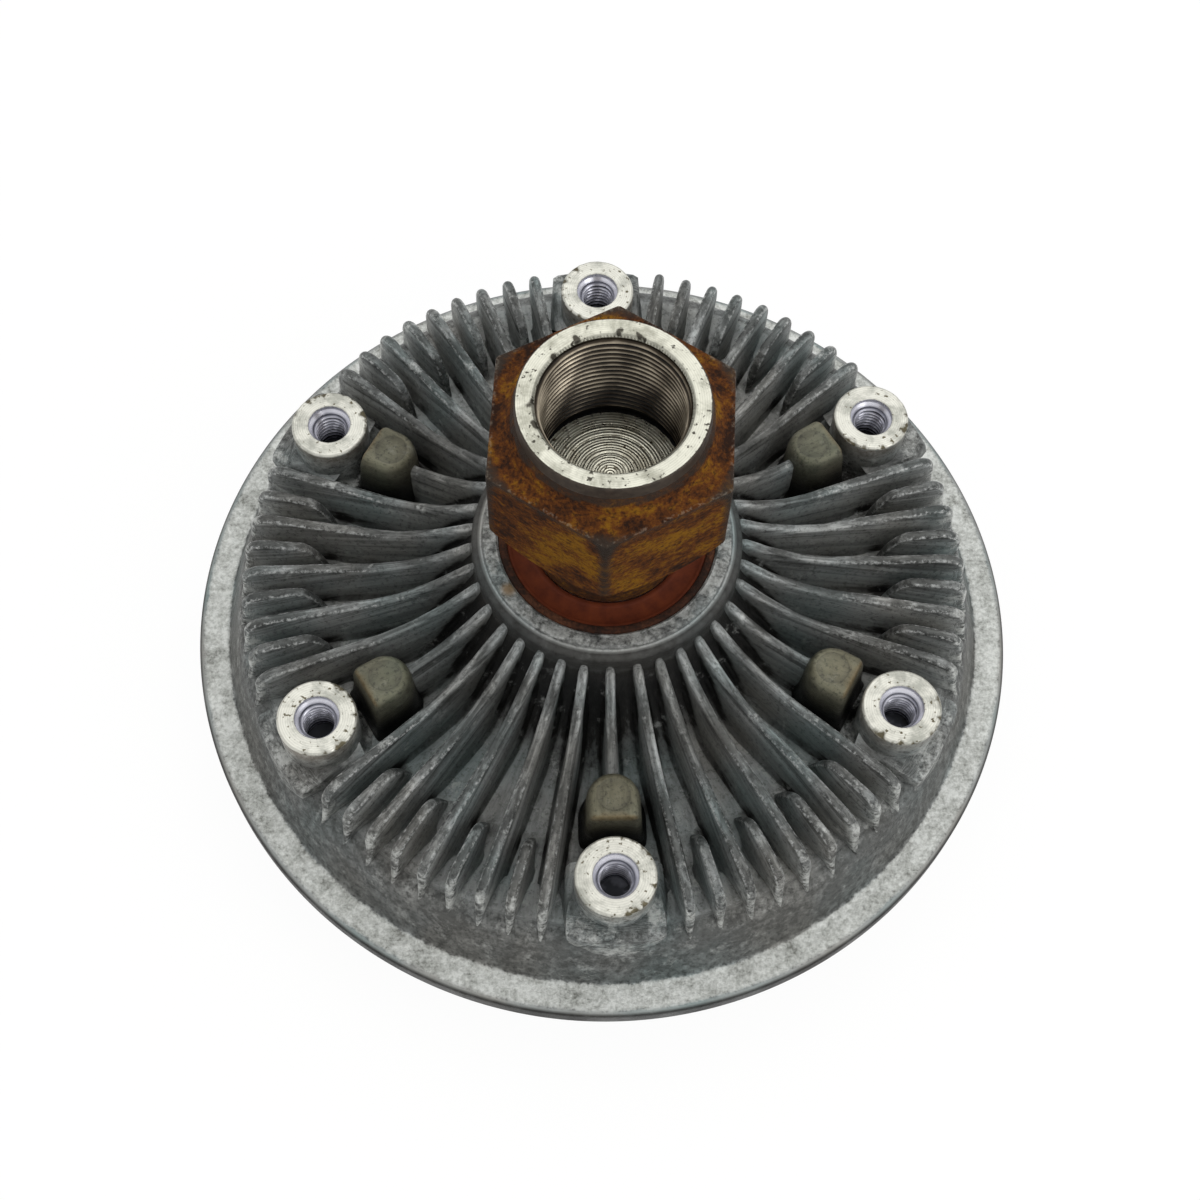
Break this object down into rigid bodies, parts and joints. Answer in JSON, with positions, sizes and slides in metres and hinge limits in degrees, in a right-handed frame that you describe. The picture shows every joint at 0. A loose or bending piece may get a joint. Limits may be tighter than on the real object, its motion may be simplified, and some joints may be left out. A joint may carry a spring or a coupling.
{
  "type": "viscous fan clutch",
  "caption": "Finned disc-shaped viscous fan clutch with threaded fan bosses and a spinning hexagon hub with a threaded socket, fluid rotor and bimetal coil valve.",
  "frame": {"origin": "on the clutch's axis, in the plane of the front cover's fin tips that it rests on", "axes": "+Z along the clutch's axis towards the threaded hub; +Y towards one fan boss"},
  "size_m": [0.1888, 0.1888, 0.1184],
  "materials": {
    "housing_casting": "die-cast, grimy, machined bosses",
    "cover_casting": "die-cast",
    "hub_steel": "turned, rusted hexagon",
    "bearing_steel": "ground, light rust",
    "ball_steel": "polished",
    "seal_red": "matt",
    "seal_black": "matt",
    "rotor_casting": "turned",
    "plated_steel": "zinc plated",
    "bimetal_strip": "rolled strip",
    "cage_polymer": "moulded"
  },
  "bodies": {
    "clutch_case": {"housing": "housing_casting", "front_cover": "cover_casting", "cover_seal_ring": "seal_black", "return_plug": "plated_steel", "pump_wiper": "plated_steel", "bearing_outer_ring": "bearing_steel", "rear_bearing_seal": "seal_red", "front_bearing_seal": "seal_red", "valve_plate": "plated_steel", "valve_plate_screws": "plated_steel", "valve_shaft_seal": "seal_black", "bimetal_coil": "bimetal_strip"},
    "hub": {"hub_shaft": "hub_steel", "rotor_disc": "rotor_casting", "rotor_retaining_ring": "plated_steel", "bearing_inner_ring": "bearing_steel"},
    "ball_set": {"bearing_balls": "ball_steel", "bearing_cage": "cage_polymer"},
    "valve": {"valve_shaft": "plated_steel", "valve_arm": "plated_steel", "valve_shaft_clip": "plated_steel"}
  },
  "joints": [
    {"name": "hub_spin", "type": "hinge", "parent": "clutch_case", "child": "hub", "pos_m": [0, 0, 0.0567], "axis": [0, 0, 1], "continuous": true},
    {"name": "ball_set_spin", "type": "hinge", "parent": "clutch_case", "child": "ball_set", "pos_m": [0, 0, 0.0564], "axis": [0, 0, 1], "continuous": true},
    {"name": "valve_turn", "type": "hinge", "parent": "clutch_case", "child": "valve", "pos_m": [0, 0, 0.0145], "axis": [0, 0, 1], "range_deg": [0, 35], "stiffness_Nm_per_rad": 0.02, "deforming": ["bimetal_coil"]}
  ],
  "couplings": [
    {"joint": "ball_set_spin", "follows": "hub_spin", "ratio": 0.40278}
  ]
}
